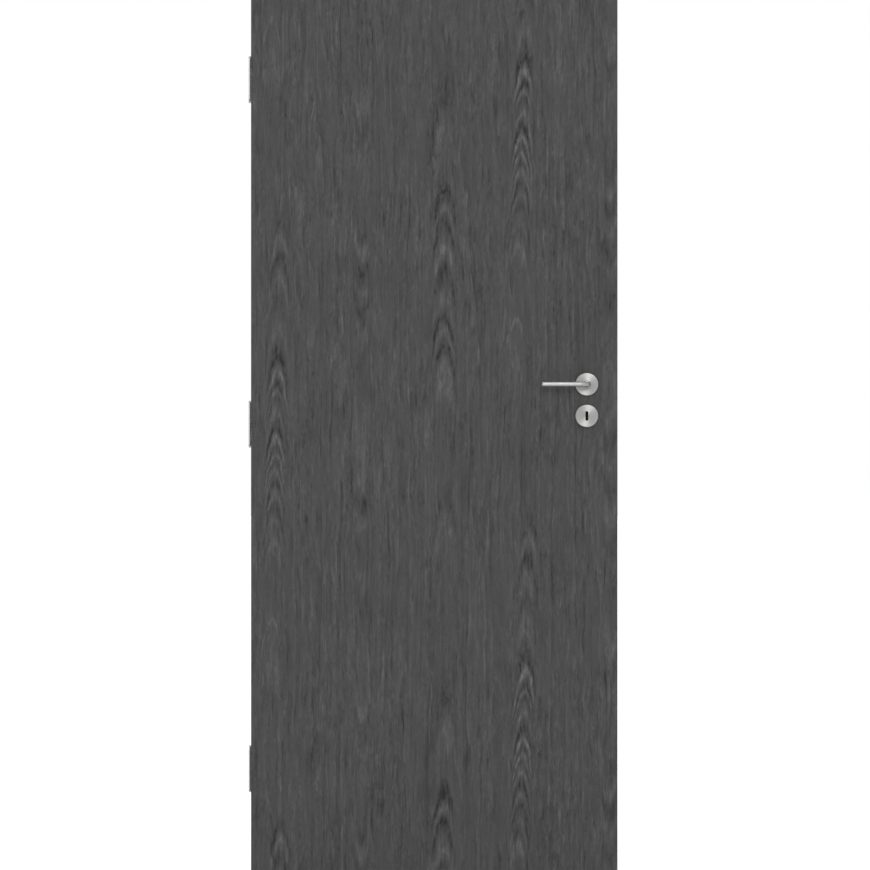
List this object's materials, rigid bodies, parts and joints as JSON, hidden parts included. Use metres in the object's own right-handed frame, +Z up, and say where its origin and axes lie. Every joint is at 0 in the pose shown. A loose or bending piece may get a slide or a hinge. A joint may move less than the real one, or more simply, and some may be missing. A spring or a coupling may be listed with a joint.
{
  "type": "interior door leaf",
  "caption": "Plain flush interior door leaf in dark grey wood-grain laminate, hung on butt hinges, with slim lever handles on round roses and round key roses.",
  "frame": {"origin": "on the fixing face of the middle frame hinge leaf, halfway up that hinge and level with the middle of the leaf's thickness", "axes": "+Z up; +X across the door from the hinge edge to the lock edge; -Y is the front that the picture shows, and the door opens towards +Y"},
  "size_m": [0.842, 0.156, 1.985],
  "materials": {
    "anthracite_laminate": "matt dark grey wood-grain laminate on a wood fibre skin",
    "anthracite_edge_band": "matt dark grey edge band with the same grain",
    "frame_wood": "planed raw softwood",
    "chipboard": "raw chipboard",
    "satin_steel": "satin stainless steel, brushed round on the roses",
    "black_nylon": "moulded nylon",
    "zinc_plated_steel": "dull zinc plate",
    "lock_edge_steel": "straight brushed stainless steel",
    "hinge_steel": "satin stainless steel"
  },
  "bodies": {
    "frame_side": {"frame_hinge_leaf_top": "hinge_steel", "frame_hinge_leaf_middle": "hinge_steel", "frame_hinge_leaf_bottom": "hinge_steel", "hinge_pin_top": "hinge_steel", "hinge_pin_middle": "hinge_steel", "hinge_pin_bottom": "hinge_steel"},
    "door_leaf": {"front_skin": "anthracite_laminate", "back_skin": "anthracite_laminate", "hinge_edge_band": "anthracite_edge_band", "lock_edge_band": "anthracite_edge_band", "hinge_stile": "frame_wood", "lock_stile": "frame_wood", "top_rail": "frame_wood", "bottom_rail": "frame_wood", "lock_block": "frame_wood", "tubular_core": "chipboard", "front_lever_base": "black_nylon", "back_lever_base": "black_nylon", "front_key_base": "black_nylon", "back_key_base": "black_nylon", "lock_case": "zinc_plated_steel", "lock_forend": "lock_edge_steel", "latch_bolt": "lock_edge_steel", "dead_bolt": "lock_edge_steel", "door_hinge_leaf_top": "hinge_steel", "door_hinge_leaf_middle": "hinge_steel", "door_hinge_leaf_bottom": "hinge_steel", "front_lever_rose": "satin_steel", "back_lever_rose": "satin_steel", "front_key_rose": "satin_steel", "back_key_rose": "satin_steel"},
    "lever_set": {"front_lever": "satin_steel", "back_lever": "satin_steel", "spindle": "zinc_plated_steel", "follower": "zinc_plated_steel"}
  },
  "joints": [
    {"name": "door_swing", "type": "hinge", "parent": "frame_side", "child": "door_leaf", "pos_m": [0.0045, 0.0263, 0], "axis": [0, 0, 1], "range_deg": [0, 110]},
    {"name": "lever_turn", "type": "hinge", "parent": "door_leaf", "child": "lever_set", "pos_m": [0.771, 0, 0.0905], "axis": [0, -1, 0], "range_deg": [0, 40], "stiffness_Nm_per_rad": 1.2, "springref_deg": -22.92}
  ]
}
